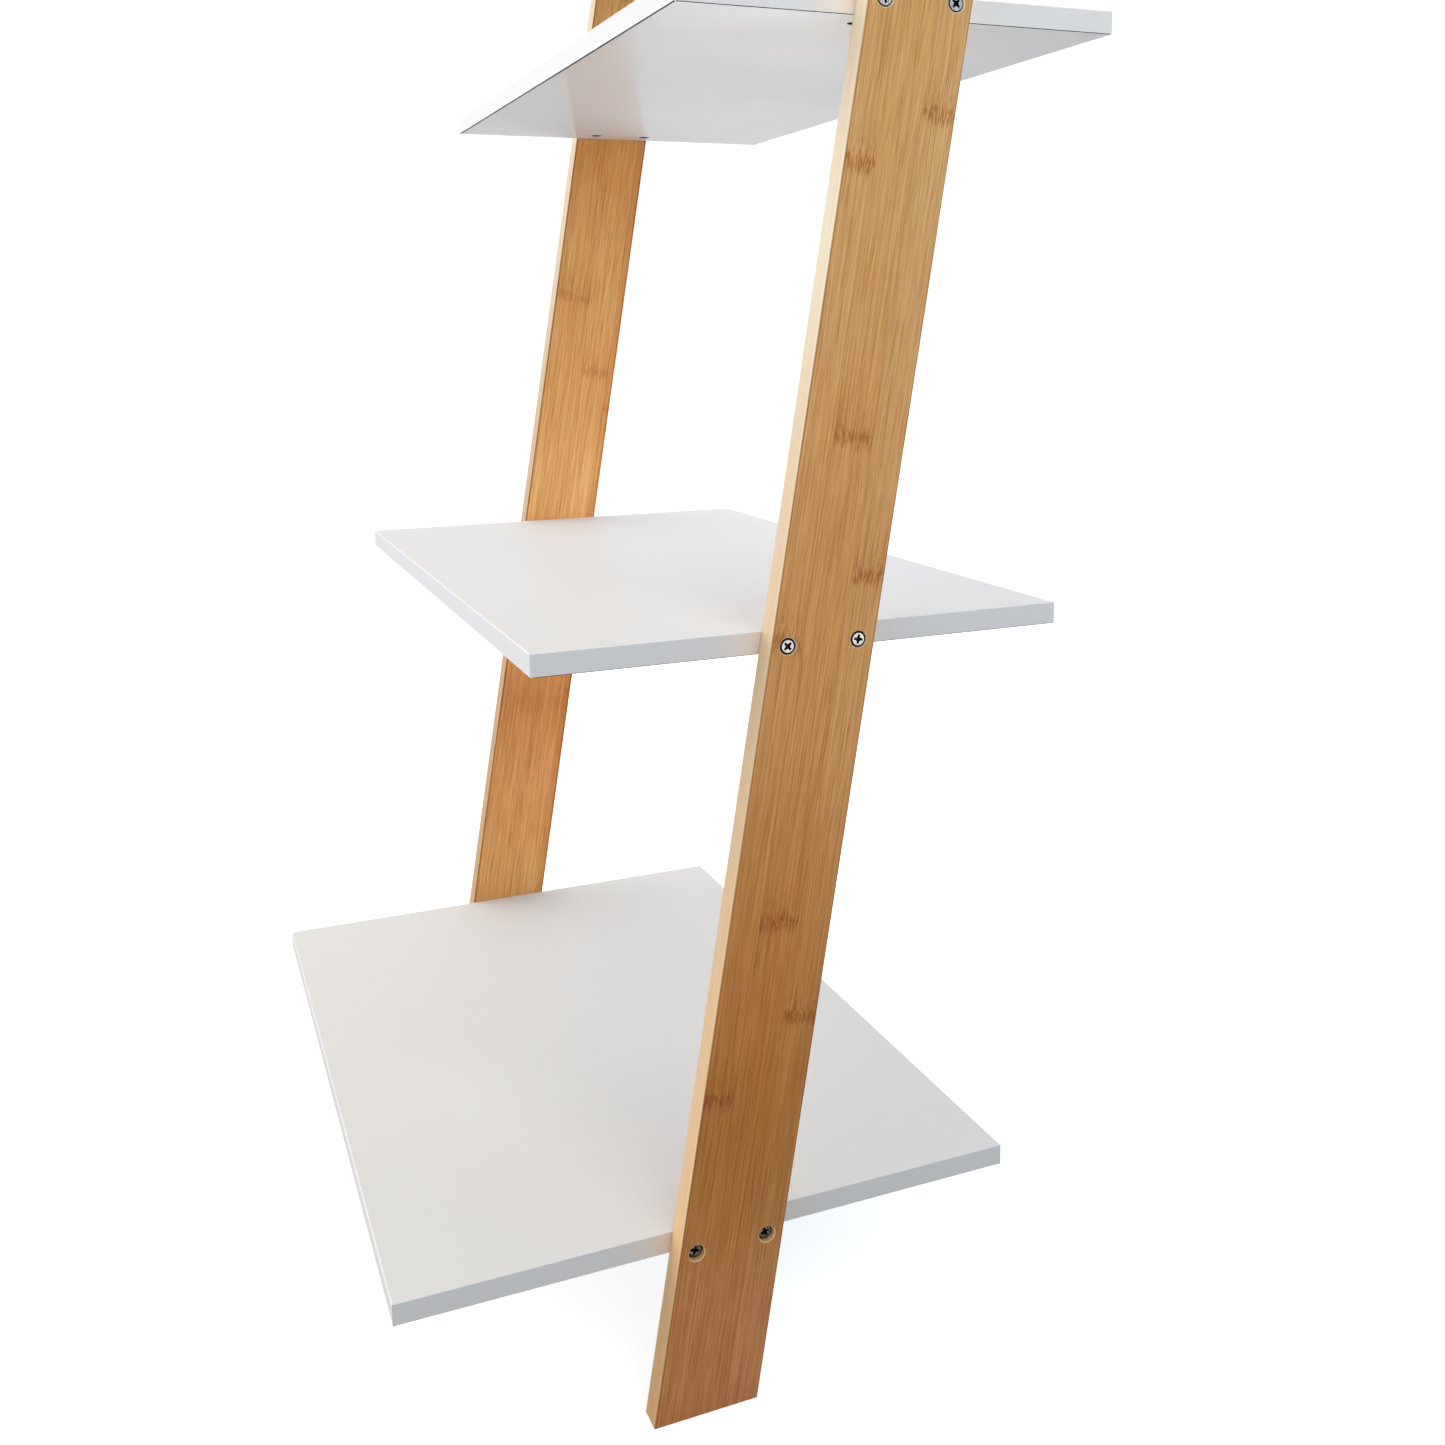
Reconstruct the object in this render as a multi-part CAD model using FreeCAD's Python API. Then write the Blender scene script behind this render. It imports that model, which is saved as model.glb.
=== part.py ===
"""Leaning ladder shelf: two flat bamboo uprights that lean back against a wall, with white shelves between them.

Units are millimetres and degrees. +Z is up, +Y points at the wall, and +X is to the right of someone facing the
front. The origin is on the floor, at the middle of the footprint of the whole object.

Each shelf is a board with glued edge bands. It is centred on the slanting centre line of the uprights, and two
machine screws a side pass through the upright into barrel nuts that sit in holes in the shelf's underside. Two
angle brackets under the highest shelf tie the object to the wall.
"""

import FreeCAD, Part
import math
import os

from FreeCAD import Placement, Rotation, Vector

# Overall
TIER_COUNT = 5
TIER_SPACING = 320.0  # top face to top face
FIRST_TIER_HEIGHT = 100.0  # floor to the lowest shelf's top face
UPRIGHT_ABOVE_TOP_SHELF = 100.0
LEAN_ANGLE = 10.0  # from the vertical

# Uprights
UPRIGHT_WIDTH = 58.0  # square to its length
UPRIGHT_THICKNESS = 15.0
UPRIGHT_EDGE_ROUND = 0.8

# Shelves
SHELF_LENGTH = 500.0  # between the uprights
LOWEST_SHELF_DEPTH = 350.0
DEPTH_STEP = 50.0  # each shelf is this much shallower than the one below
SHELF_THICKNESS = 12.0
EDGE_BAND_THICKNESS = 1.0
EDGE_BAND_CHAMFER = 0.35

# Machine screws
SCREW_SPACING = 40.0  # between the two screws of one joint, along Y
SCREW_DIAMETER = 5.0
SCREW_LENGTH = 35.0  # under the head
SCREW_TIP_CHAMFER = 0.6
HEAD_DIAMETER = 8.0
HEAD_HEIGHT = 3.0
HEAD_CHAMFER = 0.4
HEAD_SINK = 0.4  # head below the upright's face
LOWEST_HEAD_SINK = 3.0  # the same at the lowest shelf, which is bored deeper
BORE_EASE = 0.5  # chamfer at the mouth of the head's bore
RECESS_SPAN = 5.0
RECESS_SLOT = 1.4
RECESS_DEPTH = 2.0
RECESS_TAPER = 0.6  # size at the recess's floor, as a share of its mouth
SCREW_TURN = 37.0  # each next screw ends up turned by this much

# Barrel nuts
NUT_DIAMETER = 8.0
NUT_LENGTH = 8.0
NUT_INSET = 19.0  # from the shelf's end to the nut's axis
NUT_SLOT_WIDTH = 1.2
NUT_SLOT_DEPTH = 1.0

# Wall brackets
BRACKET_SPACING = 300.0
BRACKET_WIDTH = 16.0
BRACKET_LEG = 25.0
BRACKET_THICKNESS = 2.0
WALL_HOLE_DIAMETER = 5.0
BOARD_SCREW_DIAMETER = 3.5
BOARD_SCREW_LENGTH = 10.0  # under the head
BOARD_SCREW_HEAD_DIAMETER = 7.0
BOARD_SCREW_HEAD_HEIGHT = 2.0

# Fits, all on the diameter
SCREW_CLEARANCE = 0.4
THREAD_CLEARANCE = 0.1
HEAD_CLEARANCE = 0.8
NUT_CLEARANCE = 0.2
PILOT_CLEARANCE = 0.1
SCREW_TIP_ROOM = 2.0  # bore past the end of the screw

# Worked out from the dimensions above
LEAN = math.tan(math.radians(LEAN_ANGLE))
UPRIGHT_LEVEL_WIDTH = UPRIGHT_WIDTH / math.cos(math.radians(LEAN_ANGLE))
TOP_FACES = [FIRST_TIER_HEIGHT + i * TIER_SPACING for i in range(TIER_COUNT)]
DEPTHS = [LOWEST_SHELF_DEPTH - i * DEPTH_STEP for i in range(TIER_COUNT)]
MIDDLES = [top - SHELF_THICKNESS / 2 for top in TOP_FACES]
UPRIGHT_HEIGHT = TOP_FACES[-1] + UPRIGHT_ABOVE_TOP_SHELF
INNER_FACE = SHELF_LENGTH / 2
OUTER_FACE = INNER_FACE + UPRIGHT_THICKNESS
FRONT_MOST = min(
    [LEAN * z - depth / 2 for z, depth in zip(MIDDLES, DEPTHS)]
    + [-UPRIGHT_LEVEL_WIDTH / 2]
)
REAR_MOST = max(
    [LEAN * z + depth / 2 for z, depth in zip(MIDDLES, DEPTHS)]
    + [LEAN * UPRIGHT_HEIGHT + UPRIGHT_LEVEL_WIDTH / 2]
)
FOOT_Y = -(FRONT_MOST + REAR_MOST) / 2
SIDES = {"left": -1, "right": 1}


def centre_y(z):
    """Y of the uprights' centre line at a height."""
    return FOOT_Y + LEAN * z


def head_sink(tier):
    return LOWEST_HEAD_SINK if tier == 0 else HEAD_SINK


def box(x, y, z):
    """A box from three (low, high) pairs."""
    size = [high - low for low, high in (x, y, z)]
    return Part.makeBox(*size, Vector(x[0], y[0], z[0]))


def rod(diameter, length, start, direction):
    return Part.makeCylinder(diameter / 2, length, Vector(*start), Vector(*direction))


def screw_places(tier):
    """(side, y, z, count) of each of a tier's four screws."""
    z = MIDDLES[tier]
    places = []
    for side in SIDES.values():
        for offset in (-SCREW_SPACING / 2, SCREW_SPACING / 2):
            places.append((side, centre_y(z) + offset, z, 4 * tier + len(places)))
    return places


def under_head_x(tier):
    """Distance from the middle of the object to the seat of a screw's head."""
    return OUTER_FACE - head_sink(tier) - HEAD_HEIGHT


def nut_x():
    return INNER_FACE - NUT_INSET


def bore_mouth(side, y, z):
    """The chamfer where a head's bore opens in the upright's outer face, carried a little past the face."""
    past = BORE_EASE
    radius = (HEAD_DIAMETER + HEAD_CLEARANCE) / 2
    return Part.makeCone(
        radius,
        radius + BORE_EASE + past,
        BORE_EASE + past,
        Vector(side * (OUTER_FACE - BORE_EASE), y, z),
        Vector(side, 0, 0),
    )


def upright(side):
    """A flat board, cut level at the floor and at the top, bored and counterbored for the screws."""
    half = UPRIGHT_LEVEL_WIDTH / 2
    corners = [
        (centre_y(0) - half, 0),
        (centre_y(0) + half, 0),
        (centre_y(UPRIGHT_HEIGHT) + half, UPRIGHT_HEIGHT),
        (centre_y(UPRIGHT_HEIGHT) - half, UPRIGHT_HEIGHT),
    ]
    start_x = INNER_FACE if side > 0 else -OUTER_FACE
    points = [Vector(start_x, y, z) for y, z in corners]
    face = Part.Face(Part.makePolygon(points + points[:1]))
    board = face.extrude(Vector(UPRIGHT_THICKNESS, 0, 0))
    long_edges = [e for e in board.Edges if e.Length > UPRIGHT_HEIGHT]
    board = board.makeFillet(UPRIGHT_EDGE_ROUND, long_edges)
    holes = []
    for tier in range(TIER_COUNT):
        for screw_side, y, z, _ in screw_places(tier):
            if screw_side != side:
                continue
            outward = (side, 0, 0)
            inner = (side * INNER_FACE, y, z)
            seat = (side * under_head_x(tier), y, z)
            holes.append(
                rod(SCREW_DIAMETER + SCREW_CLEARANCE, UPRIGHT_THICKNESS, inner, outward)
            )
            holes.append(
                rod(HEAD_DIAMETER + HEAD_CLEARANCE, UPRIGHT_THICKNESS, seat, outward)
            )
            holes.append(bore_mouth(side, y, z))
    return board.cut(holes)


def shelf_span(tier):
    """(y, z) pairs of a shelf's finished size."""
    middle = centre_y(MIDDLES[tier])
    half = DEPTHS[tier] / 2
    top = TOP_FACES[tier]
    return (middle - half, middle + half), (top - SHELF_THICKNESS, top)


def screw_bores(tier):
    """The bores that run into the ends of a shelf."""
    bores = []
    tip_x = under_head_x(tier) - SCREW_LENGTH - SCREW_TIP_ROOM
    for side, y, z, _ in screw_places(tier):
        bores.append(
            rod(
                SCREW_DIAMETER + SCREW_CLEARANCE,
                OUTER_FACE - tip_x,
                (side * tip_x, y, z),
                (side, 0, 0),
            )
        )
    return bores


def nut_pocket(side, y, z):
    """A blind hole from the shelf's underside up to the top of the barrel nut."""
    underside = z - SHELF_THICKNESS / 2
    depth = (SHELF_THICKNESS + NUT_LENGTH) / 2
    return rod(
        NUT_DIAMETER + NUT_CLEARANCE, depth, (side * nut_x(), y, underside), (0, 0, 1)
    )


def bracket_places():
    return {name: side * BRACKET_SPACING / 2 for name, side in SIDES.items()}


def board_screw_y():
    """Middle of the bracket's level leg, clear of its wall leg."""
    return wall_y() - (BRACKET_LEG + BRACKET_THICKNESS) / 2


def wall_y():
    """The plane of the wall, which the highest shelf's rear edge touches."""
    return shelf_span(TIER_COUNT - 1)[0][1]


def shelf_panel(tier):
    (front, rear), z = shelf_span(tier)
    band = EDGE_BAND_THICKNESS
    end = INNER_FACE - band
    board = box((-end, end), (front + band, rear - band), z)
    holes = screw_bores(tier)
    holes += [nut_pocket(side, y, mid) for side, y, mid, _ in screw_places(tier)]
    if tier == TIER_COUNT - 1:
        depth = BOARD_SCREW_LENGTH - BRACKET_THICKNESS
        for x in bracket_places().values():
            holes.append(
                rod(
                    BOARD_SCREW_DIAMETER + PILOT_CLEARANCE,
                    depth,
                    (x, board_screw_y(), z[0]),
                    (0, 0, 1),
                )
            )
    return board.cut(holes)


def band_strip(x, y, z, outward):
    """A flat strip with its two long outer edges chamfered. outward is the axis and sign of its outer face."""
    strip = box(x, y, z)
    axis, sign = outward
    limit = (x, y)[axis][1 if sign > 0 else 0]
    edges = []
    for edge in strip.Edges:
        ends = [vertex.Point for vertex in edge.Vertexes]
        outer = all(abs(point[axis] - limit) < 1e-6 for point in ends)
        level = abs(ends[0].z - ends[1].z) < 1e-6
        if outer and level:
            edges.append(edge)
    return strip.makeChamfer(EDGE_BAND_CHAMFER, edges)


def edge_bands(tier):
    """Front and rear strips over the whole length, and end strips between them."""
    (front, rear), z = shelf_span(tier)
    band = EDGE_BAND_THICKNESS
    length = (-INNER_FACE, INNER_FACE)
    between = (front + band, rear - band)
    strips = [
        band_strip(length, (front, front + band), z, (1, -1)),
        band_strip(length, (rear - band, rear), z, (1, 1)),
    ]
    for side in SIDES.values():
        x = sorted((side * (INNER_FACE - band), side * INNER_FACE))
        strip = band_strip(x, between, z, (0, side))
        strips.append(strip.cut(screw_bores(tier)))
    return Part.makeCompound(strips)


def tapered_bar(length, width, depth):
    """A bar along X whose mouth is in the plane Z = 0 and whose floor is smaller."""

    def rectangle(share, z):
        half_length, half_width = length / 2 * share, width / 2 * share
        points = [
            Vector(-half_length, -half_width, z),
            Vector(half_length, -half_width, z),
            Vector(half_length, half_width, z),
            Vector(-half_length, half_width, z),
        ]
        return Part.makePolygon(points + points[:1])

    return Part.makeLoft(
        [rectangle(1.0, 0.0), rectangle(RECESS_TAPER, -depth)], True, True
    )


def cross_recess():
    bar = tapered_bar(RECESS_SPAN, RECESS_SLOT, RECESS_DEPTH)
    other = bar.copy()
    other.rotate(Vector(0, 0, 0), Vector(0, 0, 1), 90)
    centre = Part.makeCone(
        RECESS_SLOT * RECESS_TAPER,
        RECESS_SLOT,
        RECESS_DEPTH,
        Vector(0, 0, -RECESS_DEPTH),
    )
    return bar.fuse([other, centre])


def machine_screw():
    """Points along -Z, with the top of its head at the origin."""
    head = rod(HEAD_DIAMETER, HEAD_HEIGHT, (0, 0, -HEAD_HEIGHT), (0, 0, 1))
    rim = [edge for edge in head.Edges if abs(edge.CenterOfMass.z) < 1e-6]
    head = head.makeChamfer(HEAD_CHAMFER, rim)
    end_z = -HEAD_HEIGHT - SCREW_LENGTH
    shank = rod(SCREW_DIAMETER, SCREW_LENGTH, (0, 0, end_z), (0, 0, 1))
    tip = [edge for edge in shank.Edges if abs(edge.CenterOfMass.z - end_z) < 1e-6]
    shank = shank.makeChamfer(SCREW_TIP_CHAMFER, tip)
    return head.fuse(shank).removeSplitter().cut(cross_recess())


def barrel_nut():
    """Stands along Z, centred on the origin, with its threaded bore along X and a slot in its lower end."""
    half = NUT_LENGTH / 2
    body = rod(NUT_DIAMETER, NUT_LENGTH, (0, 0, -half), (0, 0, 1))
    reach = NUT_DIAMETER
    bore = rod(
        SCREW_DIAMETER + THREAD_CLEARANCE, 2 * reach, (-reach, 0, 0), (1, 0, 0)
    )
    slot = box(
        (-reach, reach),
        (-NUT_SLOT_WIDTH / 2, NUT_SLOT_WIDTH / 2),
        (-half, -half + NUT_SLOT_DEPTH),
    )
    return body.cut([bore, slot])


def tier_screws(tier):
    model = machine_screw()
    solids = []
    for side, y, z, count in screw_places(tier):
        turned = Rotation(Vector(0, 0, 1), SCREW_TURN * count)
        aimed = Rotation(Vector(0, 1, 0), 90 * side)
        screw = model.copy()
        top_x = side * (OUTER_FACE - head_sink(tier))
        screw.Placement = Placement(Vector(top_x, y, z), aimed.multiply(turned))
        solids.append(screw)
    return Part.makeCompound(solids)


def tier_nuts(tier):
    model = barrel_nut()
    solids = []
    for side, y, z, _ in screw_places(tier):
        nut = model.copy()
        nut.Placement = Placement(Vector(side * nut_x(), y, z), Rotation())
        solids.append(nut)
    return Part.makeCompound(solids)


def wall_bracket(x):
    """An angle under the highest shelf: one leg screwed to the board, the other hanging flat against the wall."""
    underside = shelf_span(TIER_COUNT - 1)[1][0]
    wide = (x - BRACKET_WIDTH / 2, x + BRACKET_WIDTH / 2)
    level = box(
        wide,
        (wall_y() - BRACKET_LEG, wall_y()),
        (underside - BRACKET_THICKNESS, underside),
    )
    upright_leg = box(
        wide,
        (wall_y() - BRACKET_THICKNESS, wall_y()),
        (underside - BRACKET_LEG, underside),
    )
    board_hole = rod(
        BOARD_SCREW_DIAMETER + SCREW_CLEARANCE,
        BRACKET_LEG,
        (x, board_screw_y(), underside - BRACKET_LEG / 2),
        (0, 0, 1),
    )
    wall_hole = rod(
        WALL_HOLE_DIAMETER,
        BRACKET_LEG,
        (x, wall_y() - BRACKET_LEG / 2, wall_hole_z()),
        (0, 1, 0),
    )
    return level.fuse(upright_leg).removeSplitter().cut([board_hole, wall_hole])


def wall_hole_z():
    underside = shelf_span(TIER_COUNT - 1)[1][0]
    return underside - (BRACKET_LEG + BRACKET_THICKNESS) / 2


def board_screws():
    """Pan-head screws that hold the brackets to the board from below."""
    seat_z = shelf_span(TIER_COUNT - 1)[1][0] - BRACKET_THICKNESS
    solids = []
    for x in bracket_places().values():
        y = board_screw_y()
        head = rod(
            BOARD_SCREW_HEAD_DIAMETER, BOARD_SCREW_HEAD_HEIGHT, (x, y, seat_z), (0, 0, -1)
        )
        rim_z = seat_z - BOARD_SCREW_HEAD_HEIGHT
        rim = [e for e in head.Edges if abs(e.CenterOfMass.z - rim_z) < 1e-6]
        head = head.makeFillet(BOARD_SCREW_HEAD_HEIGHT / 2, rim)
        shank = rod(BOARD_SCREW_DIAMETER, BOARD_SCREW_LENGTH, (x, y, seat_z), (0, 0, 1))
        recess = cross_recess()
        recess.Placement = Placement(
            Vector(x, y, rim_z), Rotation(Vector(1, 0, 0), 180)
        )
        solids.append(head.fuse(shank).removeSplitter().cut(recess))
    return Part.makeCompound(solids)


def parts():
    made = {}
    for name, side in SIDES.items():
        made[f"{name}_upright"] = upright(side)
    for tier in range(TIER_COUNT):
        label = f"shelf_{tier + 1}"
        made[f"{label}_panel"] = shelf_panel(tier)
        made[f"{label}_edge_bands"] = edge_bands(tier)
        made[f"{label}_screws"] = tier_screws(tier)
        made[f"{label}_barrel_nuts"] = tier_nuts(tier)
    for name, x in bracket_places().items():
        made[f"{name}_wall_bracket"] = wall_bracket(x)
    made["wall_bracket_screws"] = board_screws()
    return made


def main():
    os.makedirs("parts", exist_ok=True)
    for name, shape in parts().items():
        solids = shape.Solids
        assert solids and all(s.isValid() for s in solids), name
        shape.exportStep(f"parts/{name}.step")
        print(f"{name}: {len(solids)} solids, {shape.Volume / 1000:.2f} cm3")


main()
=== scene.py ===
"""Looks of the leaning ladder shelf: bamboo uprights, white laminate shelves and zinc-plated hardware.

Metres and degrees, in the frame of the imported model: +Z up, +Y towards the wall, +X to the right
of the front.
"""

import math

import bpy
from mathutils import Matrix, Vector


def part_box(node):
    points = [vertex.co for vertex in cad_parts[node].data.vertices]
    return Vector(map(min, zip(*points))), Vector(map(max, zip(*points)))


# The uprights' slant, which their grain follows
LEAN = math.radians(10.0)

# Camera
CAMERA_PLACE = (0.936, -0.322, 0.574)
CAMERA_AZIMUTH = 67.12
CAMERA_PITCH = 8.44
CAMERA_ROLL = -0.81
CAMERA_LENS = 36.71
CAMERA_NEAREST = 0.01
SENSOR = 36.0
CAMERA_SHIFT = (-0.0289, -0.1213)

# Stage
FLOOR_SIZE = 40.0
FLOOR_GREYS = (0.91, 0.92)
FLOOR_MOTTLE_SCALE = 2.0
FLOOR_ROUGHNESS = 0.9
FLOOR_SPECULAR = 0.1
FLOOR_GLOW = 0.6
FLOOR_BOUNCE = (0.6, 0.6, 0.6)
FLOOR_LIFT = (0.03, 0.045, 0.05)
SKY_SEEN = 1.1
SKY_PATCH_FOCUS = 2.0
# Direction and colour of each patch of light
SKY_PATCHES = {
    "front": ((0, -1, 0.2), (0.98, 1.08, 1.30)),
    "above": ((0, 0, 1), (0.18, 0.165, 0.135)),
    "left": ((-1, 0, 0.2), (1.24, 1.30, 1.36)),
    "back": ((0, 1, 0.2), (0.62, 0.82, 1.05)),
    "front left": ((-0.6, -0.6, 0.5), (0.84, 0.67, 0.44)),
}
# A dull stretch of the surround, low down beyond the far side
DULL_TOWARDS = (-0.98, 0.15, 0.12)
DULL_FOCUS = 25.0
DULL_COLOUR = (0.46, 0.51, 0.56)
# Place, target, size, power, colour and spread of each soft box
SOFT_BOXES = {
    "room": ((1.6, 0.2, 1.7), (0.2, 0.0, 0.8), (0.9, 0.9), 8.5, (1.0, 0.99, 0.93), 180.0),
    "window": ((-1.3, -2.0, 0.9), (0.0, 0.0, 0.4), (1.2, 1.2), 5.2, (1.0, 1.0, 1.0), 180.0),
    "backdrop": ((-1.6, 0.74, 0.02), (-1.6, 0.74, 1.0), (1.2, 0.75), 24.0, (1.0, 1.0, 1.0), 180.0),
    "glint": ((2.2, 0.9, 0.35), (0.0, 0.0, 0.4), (0.8, 0.8), 2.0, (1.0, 1.0, 1.0), 180.0),
    "far upright": ((0.15, 1.1, 0.55), (-0.25, -0.02, 0.38), (0.3, 0.3), 0.5, (1.0, 0.88, 0.82), 35.0),
}

# The range that most of a noise's values lie in
NOISE_MIDDLE = (0.3, 0.7)

# Bamboo grain: each noise's mark width and length in metres, its detail and its roughness
GRAINS = {
    "broad": (0.0065, 0.5, 2.0, 0.55),
    "streaks": (0.0008, 0.07, 3.0, 0.6),
    "fine": (0.00035, 0.04, 2.0, 0.7),
    "dashes": (0.0009, 0.022, 1.0, 0.55),
    "pores": (0.0006, 0.035, 1.0, 0.55),
}
BAMBOO_FIBRES = (
    (0.34, (0.70, 0.345, 0.108)),
    (0.46, (0.84, 0.460, 0.162)),
    (0.57, (0.92, 0.545, 0.209)),
    (0.70, (0.98, 0.640, 0.272)),
)
# Layers over the base colour: the grain, the two values it runs between, its strength at each, and a colour
FLAT_LAYERS = (
    ("broad", 0.35, 0.7, 0.0, 0.4, (0.76, 0.43, 0.165)),
    ("fine", 0.5, 0.75, 0.0, 0.55, (0.66, 0.31, 0.09)),
    ("dashes", 0.66, 0.76, 0.0, 0.3, (0.60, 0.26, 0.07)),
    ("pores", 0.57, 0.66, 0.0, 0.65, (0.60, 0.27, 0.075)),
    ("pores", 0.33, 0.43, 0.5, 0.0, (0.97, 0.70, 0.36)),
)
# The same for the narrow faces, where the colours multiply
NARROW_LAYERS = (
    ("streaks", 0.35, 0.65, 0.3, 0.0, (0.86, 0.78, 0.66)),
    ("fine", 0.45, 0.75, 0.0, 0.5, (0.88, 0.80, 0.70)),
)
STRIP_NOISE_STEP = 3.7
JOINT_WANDER = 0.03
JOINT_WANDER_SCALE = 3.0
GLUE_LINE_WIDTH = 0.012
GLUE_LINE_STRENGTH = 0.25
GLUE_LINE_TINT = (0.6, 0.5, 0.4)
# How far the normal points sideways where a narrow face gives way to a flat one, and to its painted shade
# line along the edge
FLAT_FACE_TURN = (0.72, 0.98)
EDGE_SHADE_TURN = (0.3, 0.6)
# The painted highlight along the arris lies on the narrow face, just inside the flat face
ARRIS_INSET = 0.0018
ARRIS_WIDTH = 0.0014
ARRIS_HIGHLIGHT_STRENGTH = 0.6
ARRIS_HIGHLIGHT_TINT = (1.14, 1.13, 1.08)
BAMBOO_ROUGHNESS = (0.36, 0.48)
BAMBOO_SPECULAR = 0.35
BAMBOO_RELIEF = 0.0002
BAMBOO_RELIEF_STRENGTH = 0.35

# Knots, in metres above or below their line
KNOT_COMB = (0.0008, 0.005, 1.0, 0.55)
KNOT_COMB_TEETH = (0.45, 0.55)
KNOT_COMB_GAPS = 0.3
KNOT_DRIFT = (0.0022, 0.2, 1.0, 0.55)
KNOT_DRIFT_HEIGHT = 0.010
KNOT_LINE_HEIGHT = 0.0065
KNOT_LINE_STRENGTH = 0.8
KNOT_FLAME_HEIGHT = 0.028
KNOT_FLAME_STRENGTH = 0.5
KNOT_TINT = (0.68, 0.50, 0.33)
KNOT_SINK = 0.5
LOWEST_KNOT = 0.15

# Tones multiply the wood's colour by height: painted light and shade along the board, with some of the wood's
# own colour change. Each is a height along the board in metres, up to the top height on the next line, and a
# colour
SHADE_TONES_TOP = 1.6
NARROW_SHADE_TONES = (
    (0.0, (0.75, 0.44, 0.19)),
    (0.05, (0.80, 0.50, 0.23)),
    (0.085, (0.90, 0.58, 0.29)),
    (0.12, (0.80, 0.535, 0.287)),
    (0.35, (0.81, 0.58, 0.34)),
    (0.52, (0.79, 0.62, 0.41)),
    (0.62, (0.87, 0.77, 0.56)),
    (0.68, (0.97, 0.80, 0.575)),
    (0.76, (1.0, 0.87, 0.61)),
)
# joints are the glue lines between three strips, as shares of the width, and strips their tints.
# knots are each strip's first height and spacing. The edge keys set how far in the painted shade line along
# the long edges reaches, and its colour.
UPRIGHTS = {
    "right": {
        "joints": (0.29, 0.67),
        "strips": ((0.97, 0.92, 0.86), (0.96, 0.90, 0.82), (0.97, 0.96, 0.98)),
        "knots": ((0.1745, 0.243), (0.2709, 0.2545), (0.2195, 0.2365)),
        "knot_depth": 1.0,
        "narrow_tint": (1.0, 1.0, 1.0),
        "edge_shade_reach": 0.0009,
        "edge_shade_tint": (0.68, 0.56, 0.42),
        "seed": 0.0,
        # Painted light and shade by height: darker low down, lightest high up
        "shade_tones": (
            (0.03, (0.82, 0.59, 0.50)),
            (0.065, (0.75, 0.545, 0.44)),
            (0.11, (0.66, 0.485, 0.30)),
            (0.16, (0.64, 0.435, 0.215)),
            (0.20, (0.69, 0.485, 0.245)),
            (0.25, (0.745, 0.545, 0.31)),
            (0.38, (0.90, 0.78, 0.67)),
            (0.52, (0.96, 0.87, 0.79)),
            (0.65, (1.0, 1.0, 1.0)),
        ),
    },
    "left": {
        "joints": (0.52, 0.90),
        "strips": ((0.98, 0.92, 0.84), (1.0, 0.95, 0.88), (0.94, 0.78, 0.62)),
        "knots": ((0.121, 0.2435), (0.055, 0.2475), (0.046, 0.2375)),
        "knot_depth": 0.6,
        "narrow_tint": (0.82, 0.73, 0.67),
        "edge_shade_reach": 0.0015,
        "edge_shade_tint": (0.66, 0.54, 0.40),
        "seed": 11.0,
        # Painted light and shade by height
        "shade_tones": (
            (0.13, (1.0, 0.94, 0.83)),
            (0.17, (1.0, 0.85, 0.75)),
            (0.205, (0.97, 0.815, 0.78)),
            (0.24, (0.89, 0.71, 0.61)),
            (0.272, (0.765, 0.565, 0.447)),
            (0.33, (0.90, 0.80, 0.70)),
            (0.45, (1.0, 1.0, 1.0)),
            (0.52, (0.94, 0.87, 0.77)),
            (0.65, (0.97, 0.90, 0.80)),
            (0.715, (0.915, 0.76, 0.59)),
            (0.80, (0.97, 0.90, 0.80)),
        ),
    },
}

# White of each tier's laminate and bands, from the floor up: one laminate, painted lighter or darker per tier
# for the light and shade it gets
PANEL_SHADED_WHITES = (
    (0.795, 0.785, 0.765),
    (0.845, 0.843, 0.838),
    (0.75, 0.75, 0.76),
    (0.83, 0.83, 0.83),
    (0.83, 0.83, 0.83),
)
BAND_SHADED_WHITES = (
    (0.78, 0.775, 0.775),
    (0.825, 0.825, 0.835),
    (0.95, 0.95, 0.95),
    (0.87, 0.87, 0.87),
    (0.87, 0.87, 0.87),
)
PANEL_SEED_STEP = 1.7
BAND_SEED_STEP = 2.3
PANEL_ROUGHNESS = 0.17
BAND_ROUGHNESS = 0.3
TOP_DULLING = 0.2
MOTTLE_SCALE = 9.0
MOTTLE_SHADE = 0.985
MOTTLE_SHARE = 0.5
MOTTLE_DULLING = 0.05
SMUDGE_SCALE = 14.0
SMUDGE_START = (0.66, 0.78)
SMUDGE_COLOUR = (0.45, 0.43, 0.41)
SMUDGE_SHARE = 0.015
SMUDGE_DULLING = 0.1
LAMINATE_IOR = 1.11
LAMINATE_SPECULAR = 0.5
PEEL_SCALE = 900.0
PEEL_RELIEF = 0.00002
PEEL_STRENGTH = 0.25

# The normal's z on the bands' eased edges, give or take the width, and below which a face is an under face
EASED_EDGE = 0.7
EASED_EDGE_WIDTH = 0.35
UNDER_FACE = -0.9
UNDER_SHADE_DEPTH = 0.0011  # depth of the front band's under face that is painted as shade
LOWER_EDGE_SHADE_COLOUR = (0.02, 0.022, 0.025)
BAND_END_TURN = (0.8, 1.0)  # how far the normal points sideways on a shelf's end
# Painted warm bounce light from the bamboo on the band ends
WOOD_BOUNCE_REACH = 0.035
WOOD_BOUNCE_TINT = (1.13, 1.02, 0.94)
CORE_SCALE = 700.0
CORE_COLOURS = ((0.06, 0.04, 0.025), (0.14, 0.095, 0.06))
BORE_TURN = (0.4, 0.6)  # how far the normal still points up or down where a bore's wall starts

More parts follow.
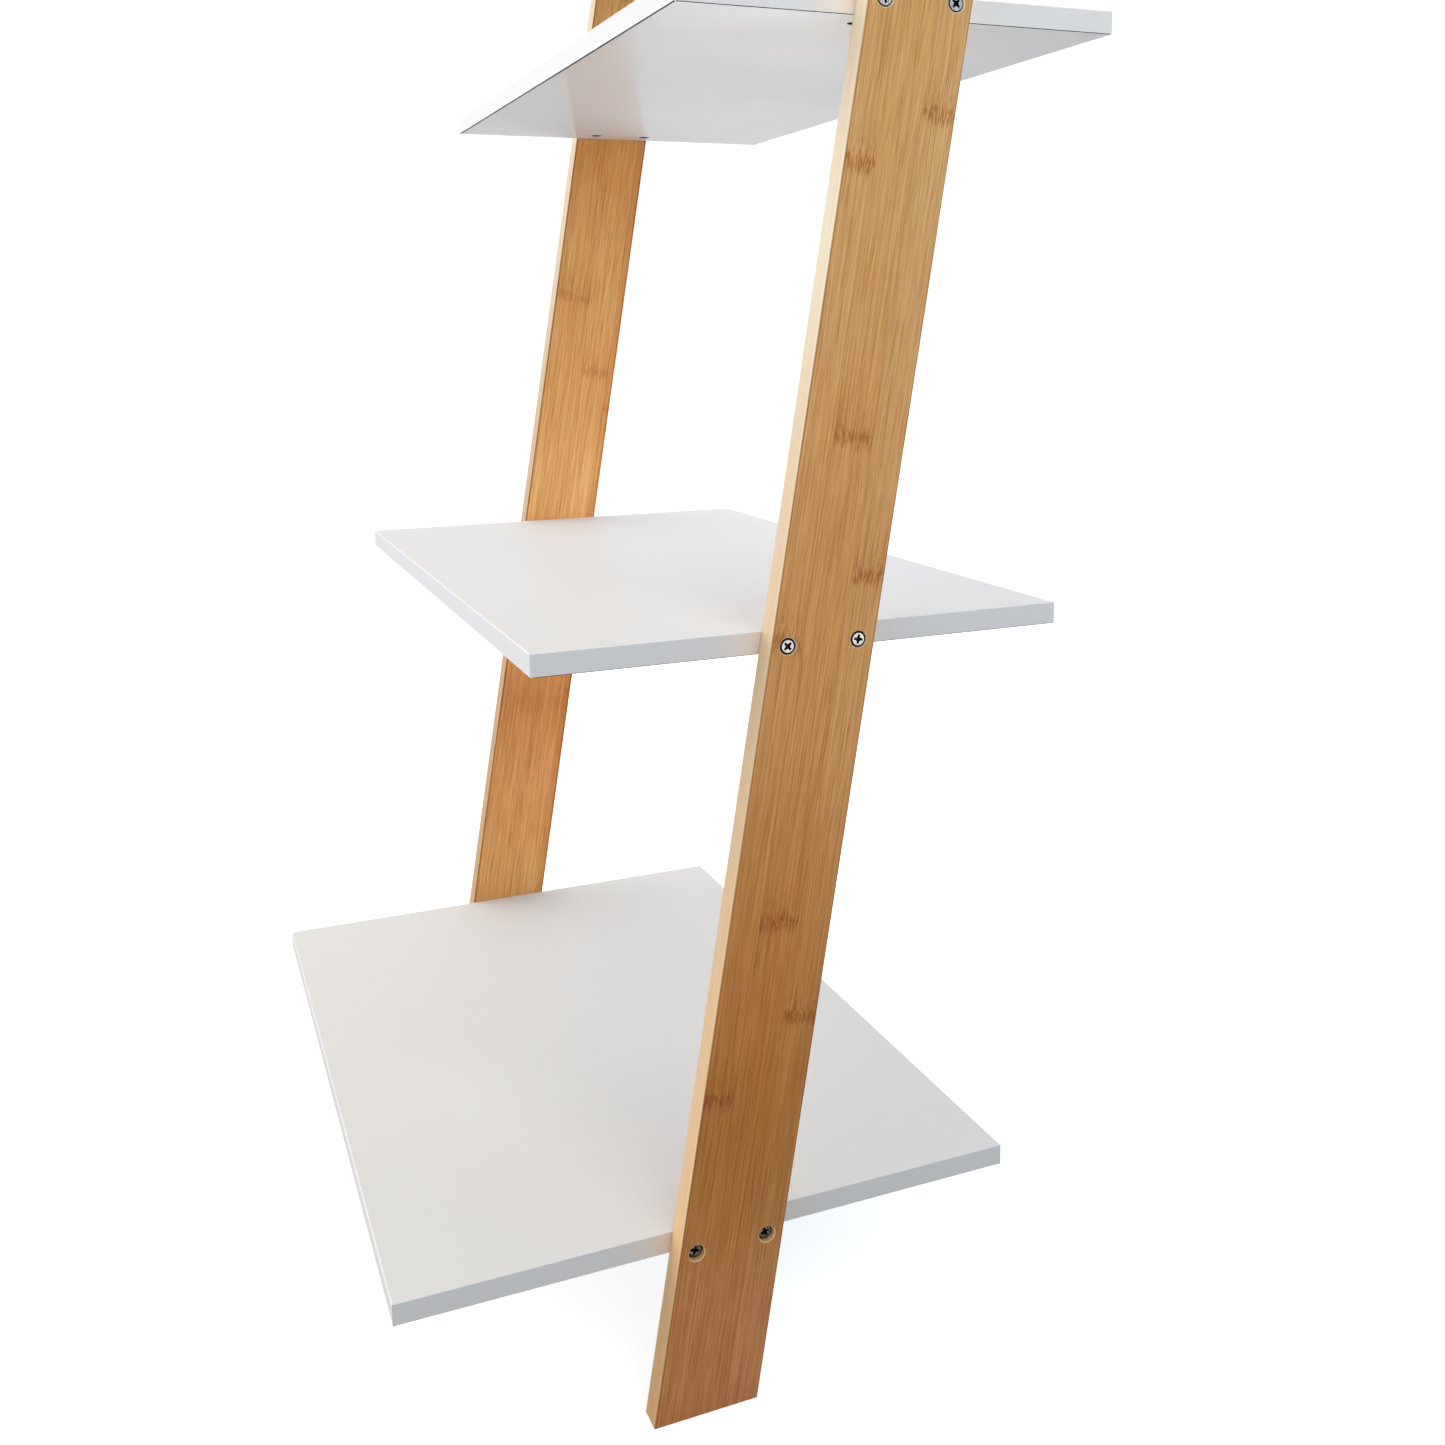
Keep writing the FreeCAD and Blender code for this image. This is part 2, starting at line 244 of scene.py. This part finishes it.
# Metal: each finish is a dull and a bright tone
ZINC_PLATE = ((0.84, 0.83, 0.80), (1.0, 0.985, 0.95))
# The lowest tier's heads sit far down their bores: this zinc is painted dark, a painted shade
SHADED_SUNK_ZINC = ((0.07, 0.06, 0.06), (0.42, 0.40, 0.40))
# The barrel nuts' steel is painted dark: painted shade of their pockets
SHADED_NUT_STEEL = ((0.12, 0.12, 0.13), (0.24, 0.24, 0.25))
PLATE_WEAR_SCALE = 1400.0
PLATE_WEAR = (0.42, 0.62)
PLATE_ROUGHNESS = (0.26, 0.4)
PLATE_RELIEF = 0.00003
PLATE_RELIEF_STRENGTH = 0.3
RECESS_DEPTHS = (0.00006, 0.0003)  # where the painted shade of a recess starts and is full
RECESS_SHADE_COLOUR = (0.035, 0.033, 0.032)
# Where each tier's painted dark rim starts, a painted reflection of the bore's shade, as a share of the
# head's radius, and how far on it is full
RIM_SHADE_STARTS = (0.78, 0.78, 0.87, 0.87, 0.87)
RIM_SHADE_RISE = 0.06

# Powder coat of the brackets
COAT_SCALE = 2500.0
COAT_COLOURS = ((0.80, 0.80, 0.79), (0.84, 0.84, 0.83))
COAT_ROUGHNESS = (0.38, 0.5)
COAT_RELIEF = 0.00004
COAT_RELIEF_STRENGTH = 0.5


def rgba(red, green, blue):
    return (red, green, blue, 1.0)


class Shader:
    """A material with a short way of writing its nodes. Each method returns an output socket."""

    def __init__(self, name):
        self.material = bpy.data.materials.new(name)
        self.material.use_nodes = True
        self.tree = self.material.node_tree
        self.tree.nodes.clear()
        self.surface = self.tree.nodes.new("ShaderNodeBsdfPrincipled")
        self.output = self.tree.nodes.new("ShaderNodeOutputMaterial")
        self.tree.links.new(self.surface.outputs[0], self.output.inputs[0])

    def feed(self, socket, value):
        if isinstance(value, bpy.types.NodeSocket):
            self.tree.links.new(value, socket)
        else:
            socket.default_value = value

    def set(self, **values):
        """Sets the surface's sockets. Underscores stand for spaces."""
        for name, value in values.items():
            self.feed(self.surface.inputs[name.replace("_", " ")], value)

    def node(self, kind, *values, **settings):
        made = self.tree.nodes.new("ShaderNode" + kind)
        for name, value in settings.items():
            setattr(made, name, value)
        for socket, value in zip(made.inputs, values):
            self.feed(socket, value)
        return made

    def math(self, operation, *values):
        return self.node("Math", *values, operation=operation).outputs[0]

    def position(self):
        return self.node("TexCoord").outputs["Object"]

    def normal(self):
        """The x, y and z of the surface's direction."""
        return self.split(self.node("NewGeometry").outputs["Normal"])

    def turned(self, vector, place=(0, 0, 0), angle=(0, 0, 0), scale=(1, 1, 1)):
        return self.node("Mapping", vector, place, angle, scale).outputs[0]

    def split(self, vector):
        return self.node("SeparateXYZ", vector).outputs

    def join(self, x, y, z):
        return self.node("CombineXYZ", x, y, z).outputs[0]

    def noise(self, vector, scale, detail=2.0, roughness=0.5, distortion=0.0):
        made = self.node("TexNoise")
        self.feed(made.inputs["Vector"], vector)
        self.feed(made.inputs["Scale"], scale)
        self.feed(made.inputs["Detail"], detail)
        self.feed(made.inputs["Roughness"], roughness)
        self.feed(made.inputs["Distortion"], distortion)
        return made.outputs["Fac"]

    def step(self, value, low, high, start=0.0, end=1.0):
        """A smooth rise from start to end while value goes from low to high."""
        made = self.node("MapRange", value, low, high, start, end, interpolation_type="SMOOTHSTEP")
        return made.outputs[0]

    def bump_in(self, value, centre, width):
        """1 at the centre, falling smoothly to 0 at width on either side."""
        away = self.math("ABSOLUTE", self.math("SUBTRACT", value, centre))
        return self.step(away, 0.0, width, 1.0, 0.0)

    def mix(self, share, first, second, blend="MIX"):
        made = self.node("Mix", data_type="RGBA", blend_type=blend)
        self.feed(made.inputs[0], share)
        self.feed(made.inputs[6], first)
        self.feed(made.inputs[7], second)
        return made.outputs[2]

    def ramp(self, value, *stops):
        made = self.node("ValToRGB", value)
        ramp = made.color_ramp
        while len(ramp.elements) < len(stops):
            ramp.elements.new(0.5)
        for element, (place, colour) in zip(ramp.elements, stops):
            element.position = place
            element.color = rgba(*colour)
        return made.outputs[0]

    def relief(self, height, distance, strength):
        """Bump whose full height is distance metres."""
        made = self.node("Bump")
        self.feed(made.inputs["Strength"], strength)
        self.feed(made.inputs["Distance"], distance)
        self.feed(made.inputs["Height"], height)
        self.set(Normal=made.outputs[0])


def bamboo(name, foot_y, half_width, arris_x, look):
    """Three strips side by side, each with its own tone, fibres and knots.

    arris_x is the |x| of the line that catches the light, where a highlight is painted, and look is an entry
    of UPRIGHTS.
    """
    shader = Shader(name)
    # x stays, y becomes the distance across the board and z the distance along it
    place = (0, -foot_y * math.cos(LEAN), -foot_y * math.sin(LEAN))
    board = shader.turned(shader.position(), place, (LEAN, 0, 0))
    x, across, along = shader.split(board)
    share = shader.node("MapRange", across, -half_width, half_width, 0.0, 1.0).outputs[0]
    wander = shader.noise(shader.join(0, 0, along), JOINT_WANDER_SCALE)
    wander = shader.math("MULTIPLY", shader.math("SUBTRACT", wander, 0.5), JOINT_WANDER)
    share = shader.math("ADD", share, wander)
    past_first, past_second = (shader.math("GREATER_THAN", share, joint) for joint in look["joints"])
    strip = shader.math("ADD", past_first, past_second)

    # Each strip draws its fibres from another part of the noise
    own = shader.math("ADD", shader.math("MULTIPLY", strip, STRIP_NOISE_STEP), look["seed"])
    fibre_space = shader.join(shader.math("ADD", x, own), across, along)

    def fibres(wide, long, detail, roughness):
        stretched = shader.turned(fibre_space, scale=(1 / wide, 1 / wide, 1 / long))
        return shader.noise(stretched, 1.0, detail, roughness)

    def shade_tones(stops):
        height = shader.math("DIVIDE", along, SHADE_TONES_TOP)
        return shader.ramp(height, *((z / SHADE_TONES_TOP, tone) for z, tone in stops))

    grains = {grain: fibres(*size) for grain, size in GRAINS.items()}
    flat = shader.ramp(grains["streaks"], *BAMBOO_FIBRES)
    for grain, low, high, start, end, colour in FLAT_LAYERS:
        flat = shader.mix(shader.step(grains[grain], low, high, start, end), flat, rgba(*colour))
    strip_tone = shader.ramp(shader.math("DIVIDE", strip, 2.0), *zip((0.0, 0.5, 1.0), look["strips"]))
    flat = shader.mix(1.0, flat, strip_tone, "MULTIPLY")
    # Painted light and shade by height along the board
    flat = shader.mix(1.0, flat, shade_tones(look["shade_tones"]), "MULTIPLY")
    for joint in look["joints"]:
        line = shader.math("MULTIPLY", shader.bump_in(share, joint, GLUE_LINE_WIDTH), GLUE_LINE_STRENGTH)
        flat = shader.mix(line, flat, rgba(*GLUE_LINE_TINT), "MULTIPLY")

    # Knots: a ragged dark line right across a strip, with flames that run up from it
    mark = 0.0
    for index, (first, spacing) in enumerate(look["knots"]):
        own_strip = shader.math("COMPARE", strip, float(index), 0.1)
        cells = shader.math("DIVIDE", shader.math("SUBTRACT", along, first - spacing / 2), spacing)
        away = shader.math("SUBTRACT", shader.math("FRACT", cells), 0.5)
        mark_here = knot_mark(shader, shader.math("MULTIPLY", away, spacing), fibres)
        mark_here = shader.math("MULTIPLY", mark_here, shader.math("GREATER_THAN", along, LOWEST_KNOT))
        mark = shader.math("ADD", mark, shader.math("MULTIPLY", own_strip, mark_here))
    mark = shader.math("MULTIPLY", mark, look["knot_depth"])
    flat = shader.mix(mark, flat, rgba(*KNOT_TINT), "MULTIPLY")

    # The narrow faces cut the fibres the other way and are paler; their tones by height are painted light and
    # shade
    narrow = shade_tones(NARROW_SHADE_TONES)
    for grain, low, high, start, end, colour in NARROW_LAYERS:
        layer = shader.step(grains[grain], low, high, start, end)
        narrow = shader.mix(layer, narrow, rgba(*colour), "MULTIPLY")
    narrow = shader.mix(1.0, narrow, rgba(*look["narrow_tint"]), "MULTIPLY")
    # Painted highlight: the narrow face is brightened along the arris
    arris_highlight = shader.bump_in(shader.math("ABSOLUTE", x), arris_x, ARRIS_WIDTH)
    narrow = shader.mix(shader.math("MULTIPLY", arris_highlight, ARRIS_HIGHLIGHT_STRENGTH), narrow, rgba(*ARRIS_HIGHLIGHT_TINT), "MULTIPLY")
    narrow = shader.mix(1.0, narrow, rgba(1, 1, 1), "DARKEN")
    sideways = shader.math("ABSOLUTE", shader.normal()[0])
    wood = shader.mix(shader.step(sideways, *FLAT_FACE_TURN, 1.0, 0.0), flat, narrow)

    # The rounded long edges get a painted shade line
    edge = shader.math("GREATER_THAN", shader.math("ABSOLUTE", across), half_width - look["edge_shade_reach"])
    edge = shader.math("MULTIPLY", edge, shader.step(sideways, *EDGE_SHADE_TURN))
    wood = shader.mix(edge, wood, rgba(*look["edge_shade_tint"]), "MULTIPLY")

    shader.set(Base_Color=wood, Specular_IOR_Level=BAMBOO_SPECULAR)
    shader.set(Roughness=shader.step(grains["streaks"], 0.2, 0.8, *BAMBOO_ROUGHNESS))
    height = shader.math("SUBTRACT", grains["streaks"], shader.math("MULTIPLY", mark, KNOT_SINK))
    shader.relief(height, BAMBOO_RELIEF, BAMBOO_RELIEF_STRENGTH)
    return shader.material


def knot_mark(shader, height, fibres):
    """How dark a knot is at a height above or below its line."""
    comb = shader.step(fibres(*KNOT_COMB), *KNOT_COMB_TEETH)
    drift = shader.math("SUBTRACT", fibres(*KNOT_DRIFT), 0.5)
    height = shader.math("ADD", height, shader.math("MULTIPLY", drift, KNOT_DRIFT_HEIGHT))
    teeth = shader.math("ADD", comb, KNOT_COMB_GAPS)
    line = shader.math("MULTIPLY", shader.bump_in(height, 0.0, KNOT_LINE_HEIGHT), teeth)
    flames = shader.step(height, 0.0, KNOT_FLAME_HEIGHT, 1.0, 0.0)
    flames = shader.math("MULTIPLY", flames, shader.math("GREATER_THAN", height, 0.0))
    flames = shader.math("MULTIPLY", flames, comb)
    line = shader.math("MULTIPLY", line, KNOT_LINE_STRENGTH)
    flames = shader.math("MULTIPLY", flames, KNOT_FLAME_STRENGTH)
    return shader.math("MINIMUM", shader.math("ADD", line, flames), 1.0)


def white_board(name, colour, roughness, seed, band=None):
    """Satin white laminate: faint mottling, a fine orange-peel relief and a few dull smudges.

    For edge bands, band is the y of the shelf's front and of the uprights' front edge beside it, and the
    bands get painted light and shade.
    """
    shader = Shader(name)
    place = shader.turned(shader.position(), (seed, 0, 0))
    mottle = shader.noise(place, MOTTLE_SCALE, 3.0)
    smudge = shader.step(shader.noise(place, SMUDGE_SCALE, 4.0, 0.6, 0.6), *SMUDGE_START)
    shade = rgba(*(MOTTLE_SHADE * c for c in colour))
    base = shader.mix(shader.step(mottle, *NOISE_MIDDLE, 0.0, MOTTLE_SHARE), rgba(*colour), shade)
    base = shader.mix(shader.math("MULTIPLY", smudge, SMUDGE_SHARE), base, rgba(*SMUDGE_COLOUR))
    normal_x, _, normal_z = shader.normal()
    if band:
        base = band_details(shader, base, colour, normal_x, normal_z, *band)
    else:
        # Bores show the raw core
        chips = shader.noise(place, CORE_SCALE, 2.0)
        core = shader.mix(chips, *(rgba(*tone) for tone in CORE_COLOURS))
        bore = shader.step(shader.math("ABSOLUTE", normal_z), *BORE_TURN, 1.0, 0.0)
        base = shader.mix(bore, base, core)
    # The top face is duller than the underside
    dullness = shader.step(normal_z, -0.5, 0.5, roughness, roughness + TOP_DULLING)
    dullness = shader.math("ADD", dullness, shader.step(mottle, *NOISE_MIDDLE, 0.0, MOTTLE_DULLING))
    dullness = shader.math("ADD", dullness, shader.math("MULTIPLY", smudge, SMUDGE_DULLING))
    shader.set(Base_Color=base, Roughness=dullness)
    shader.set(IOR=LAMINATE_IOR, Specular_IOR_Level=LAMINATE_SPECULAR)
    shader.relief(shader.noise(place, PEEL_SCALE, 2.0), PEEL_RELIEF, PEEL_STRENGTH)
    return shader.material


def band_details(shader, base, colour, normal_x, normal_z, front_y, wood_y):
    """The painted shade line on the lower edge, the painted highlight on the eased upper edge and the painted
    warm bounce light on the ends of a shelf's edge bands.
    """
    y = shader.split(shader.position())[1]
    # The lower eased edge and the front band's under face are painted dark: a painted shade line, widest at
    # the front
    under = shader.math("LESS_THAN", normal_z, UNDER_FACE)
    front = shader.math("LESS_THAN", y, front_y + UNDER_SHADE_DEPTH)
    lower_edge = shader.bump_in(normal_z, -EASED_EDGE, EASED_EDGE_WIDTH)
    lower_edge_shade = shader.math("MAXIMUM", lower_edge, shader.math("MULTIPLY", under, front))
    base = shader.mix(lower_edge_shade, base, rgba(*LOWER_EDGE_SHADE_COLOUR))
    # The eased upper edge is painted white: a painted highlight line
    base = shader.mix(shader.bump_in(normal_z, EASED_EDGE, EASED_EDGE_WIDTH), base, rgba(1, 1, 1))
    # The ends beside the wood are warmer: painted warm bounce light from the bamboo
    end_face = shader.step(shader.math("ABSOLUTE", normal_x), *BAND_END_TURN)
    beside = shader.math("MULTIPLY", shader.bump_in(y, wood_y, WOOD_BOUNCE_REACH), end_face)
    return shader.mix(beside, base, rgba(*(c * k for c, k in zip(colour, WOOD_BOUNCE_TINT))))


def zinc(name, axis, face, finish, heads=None, rim_shade_start=None):
    """Bright plate with painted shade inside the recess: what lies deeper than the head's outer face, along
    an axis, is painted dark.

    heads is the box of a shelf's screws, whose rounded rims get a painted reflection of their bores' shade.
    """
    shader = Shader(name)
    place = shader.position()
    level = shader.math("ABSOLUTE", shader.split(place)[axis])
    depth = shader.math("ABSOLUTE", shader.math("SUBTRACT", face, level))
    recess_shade = shader.step(depth, *RECESS_DEPTHS)
    wear = shader.noise(place, PLATE_WEAR_SCALE, 3.0)
    base = shader.ramp(wear, *zip(PLATE_WEAR, finish))
    if heads:
        # Painted reflection of the bores' shade on the head rims
        recess_shade = shader.math("MAXIMUM", recess_shade, head_rim_shade(shader, heads, rim_shade_start))
    shader.set(Base_Color=shader.mix(recess_shade, base, rgba(*RECESS_SHADE_COLOUR)), Metallic=1.0)
    shader.set(Roughness=shader.step(wear, *NOISE_MIDDLE, *PLATE_ROUGHNESS))
    shader.relief(wear, PLATE_RELIEF, PLATE_RELIEF_STRENGTH)
    return shader.material


def head_rim_shade(shader, heads, rim_shade_start):
    """1 on the rims of the two screw heads at each end of a shelf, where a painted reflection of the bore's
    shade goes, and 0 inside them.
    """
    middle, radius = (heads[0] + heads[1]) / 2, (heads[1].z - heads[0].z) / 2
    half_spacing = (heads[1].y - heads[0].y) / 2 - radius
    _, y, z = shader.split(shader.position())
    off_y = shader.math("ABSOLUTE", shader.math("SUBTRACT", y, middle.y))
    off_y = shader.math("SUBTRACT", off_y, half_spacing)
    off = shader.join(0, off_y, shader.math("SUBTRACT", z, middle.z))
    away = shader.node("VectorMath", off, operation="LENGTH").outputs["Value"]
    return shader.step(away, rim_shade_start * radius, (rim_shade_start + RIM_SHADE_RISE) * radius)


def powder_coat(name):
    shader = Shader(name)
    grain = shader.noise(shader.position(), COAT_SCALE, 2.0)
    shader.set(Base_Color=shader.mix(grain, *(rgba(*tone) for tone in COAT_COLOURS)))
    shader.set(Roughness=shader.step(grain, *NOISE_MIDDLE, *COAT_ROUGHNESS))
    shader.relief(grain, COAT_RELIEF, COAT_RELIEF_STRENGTH)
    return shader.material


def dress(node, material):
    """Gives a CAD node its finish."""
    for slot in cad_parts[node].material_slots:
        slot.material = material


def floor():
    """Pale floor. It shows as white, but sends as little light back up as a duller floor would."""
    shader = Shader("floor")
    mottle = shader.noise(shader.position(), FLOOR_MOTTLE_SCALE)
    shader.set(Base_Color=shader.mix(mottle, *(rgba(grey, grey, grey) for grey in FLOOR_GREYS)))
    shader.set(Roughness=FLOOR_ROUGHNESS, Specular_IOR_Level=FLOOR_SPECULAR)
    shader.set(Emission_Color=rgba(1, 1, 1), Emission_Strength=FLOOR_GLOW)
    bounce = shader.node("BsdfDiffuse", rgba(*FLOOR_BOUNCE)).outputs[0]
    lift = shader.node("Emission", rgba(*FLOOR_LIFT), 1.0).outputs[0]
    unseen = shader.node("AddShader", bounce, lift).outputs[0]
    seen = shader.node("LightPath").outputs["Is Camera Ray"]
    both = shader.node("MixShader", seen, unseen, shader.surface.outputs[0]).outputs[0]
    shader.feed(shader.output.inputs[0], both)
    half = FLOOR_SIZE / 2
    mesh = bpy.data.meshes.new("floor")
    corners = [(-half, -half, 0), (half, -half, 0), (half, half, 0), (-half, half, 0)]
    mesh.from_pydata(corners, [], [(0, 1, 2, 3)])
    made = bpy.data.objects.new("floor", mesh)
    made.data.materials.append(shader.material)
    bpy.context.scene.collection.objects.link(made)


def sky():
    """A white surround to look at, lit by broad patches of light in the directions of SKY_PATCHES."""
    world = bpy.data.worlds.new("studio")
    world.use_nodes = True
    tree = world.node_tree
    tree.nodes.clear()

    def node(kind, *values, **settings):
        made = tree.nodes.new("ShaderNode" + kind)
        for name, value in settings.items():
            setattr(made, name, value)
        for socket, value in zip(made.inputs, values):
            if isinstance(value, bpy.types.NodeSocket):
                tree.links.new(value, socket)
            else:
                socket.default_value = value
        return made

    direction = node("TexCoord").outputs["Generated"]

    def facing(towards, focus):
        """1 in a direction, falling to 0 at a right angle to it."""
        dot = node("VectorMath", direction, Vector(towards).normalized(), operation="DOT_PRODUCT")
        front = node("Math", dot.outputs["Value"], 0.0, operation="MAXIMUM").outputs[0]
        return node("Math", front, focus, operation="POWER").outputs[0]

    lit = node("Background", rgba(0, 0, 0), 1.0).outputs[0]
    for towards, colour in SKY_PATCHES.values():
        patch = node("Background", rgba(*colour), facing(towards, SKY_PATCH_FOCUS)).outputs[0]
        lit = node("AddShader", lit, patch).outputs[0]
    dull = node("Background", rgba(*DULL_COLOUR), 1.0).outputs[0]
    lit = node("MixShader", facing(DULL_TOWARDS, DULL_FOCUS), lit, dull).outputs[0]
    seen = node("Background", rgba(1, 1, 1), SKY_SEEN).outputs[0]
    choose = node("MixShader", node("LightPath").outputs["Is Camera Ray"], lit, seen).outputs[0]
    node("OutputWorld", choose)
    bpy.context.scene.world = world


def soft_box(name, place, target, size, power, colour, spread):
    light = bpy.data.lights.new(name, "AREA")
    light.shape = "RECTANGLE"
    light.size, light.size_y = size
    light.energy = power
    light.color = colour
    light.spread = math.radians(spread)
    made = bpy.data.objects.new(name, light)
    made.location = place
    made.rotation_euler = (Vector(target) - Vector(place)).to_track_quat("-Z", "Y").to_euler()
    bpy.context.scene.collection.objects.link(made)


def camera():
    turn, pitch, roll = map(math.radians, (CAMERA_AZIMUTH, CAMERA_PITCH, CAMERA_ROLL))
    ahead = Vector((-math.sin(turn) * math.cos(pitch), math.cos(turn) * math.cos(pitch), -math.sin(pitch)))
    level = Vector((math.cos(turn), math.sin(turn), 0.0))
    over = level.cross(ahead)
    right = level * math.cos(roll) + over * math.sin(roll)
    up = over * math.cos(roll) - level * math.sin(roll)
    lens = bpy.data.cameras.new("camera")
    lens.sensor_width = SENSOR
    lens.lens = CAMERA_LENS
    lens.shift_x, lens.shift_y = CAMERA_SHIFT
    lens.clip_start = CAMERA_NEAREST
    made = bpy.data.objects.new("camera", lens)
    axes = Matrix((right, up, -ahead)).transposed().to_4x4()
    made.matrix_world = Matrix.Translation(CAMERA_PLACE) @ axes
    bpy.context.scene.collection.objects.link(made)
    bpy.context.scene.camera = made


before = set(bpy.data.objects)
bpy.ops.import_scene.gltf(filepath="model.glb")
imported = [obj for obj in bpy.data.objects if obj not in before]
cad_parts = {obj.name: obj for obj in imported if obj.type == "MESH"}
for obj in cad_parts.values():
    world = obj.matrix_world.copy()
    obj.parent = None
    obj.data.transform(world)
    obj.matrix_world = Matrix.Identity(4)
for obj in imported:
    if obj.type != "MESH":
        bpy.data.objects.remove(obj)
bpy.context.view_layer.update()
camera()

# Half of an upright's level section and of its true width, from its box and slant
low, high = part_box("right_upright")
half_level = (high.y - low.y - (high.z - low.z) * math.tan(LEAN)) / 2
half_width = half_level * math.cos(LEAN)
# The painted highlight along the arris lies beside the flat face turned to +X, the left upright's inner one
arris_highlight_lines = {
    "right": abs(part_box("right_upright")[1].x) - ARRIS_INSET,
    "left": abs(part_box("left_upright")[1].x) + ARRIS_INSET,
}
for side, look in UPRIGHTS.items():
    material = bamboo(f"bamboo_{side}", low.y + half_level, half_width, arris_highlight_lines[side], look)
    dress(f"{side}_upright", material)

for tier in range(1, 6):
    label = f"shelf_{tier}"
    seed = tier * PANEL_SEED_STEP
    dress(f"{label}_panel", white_board(f"white_board_{tier}", PANEL_SHADED_WHITES[tier - 1], PANEL_ROUGHNESS, seed))
    front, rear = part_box(f"{label}_edge_bands")
    band = (front.y, (front.y + rear.y) / 2 - half_level)
    seed = tier * BAND_SEED_STEP
    material = white_board(f"white_edge_{tier}", BAND_SHADED_WHITES[tier - 1], BAND_ROUGHNESS, seed, band)
    dress(f"{label}_edge_bands", material)
    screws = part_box(f"{label}_screws")
    head_face = max(abs(corner.x) for corner in screws)
    # The lowest tier's screws get the zinc painted dark for shade
    plate = SHADED_SUNK_ZINC if tier == 1 else ZINC_PLATE
    dress(f"{label}_screws", zinc(f"zinc_{tier}", 0, head_face, plate, screws, RIM_SHADE_STARTS[tier - 1]))
    nut_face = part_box(f"{label}_barrel_nuts")[0].z
    dress(f"{label}_barrel_nuts", zinc(f"nut_zinc_{tier}", 2, nut_face, SHADED_NUT_STEEL))

coat = powder_coat("powder_coat")
for side in ("left", "right"):
    dress(f"{side}_wall_bracket", coat)
head_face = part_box("wall_bracket_screws")[0].z
dress("wall_bracket_screws", zinc("zinc_board_screws", 2, head_face, ZINC_PLATE))

floor()
sky()
for box_name, settings in SOFT_BOXES.items():
    soft_box(box_name, *settings)

scene = bpy.context.scene
scene.view_settings.view_transform = "Standard"
scene.view_settings.look = "None"
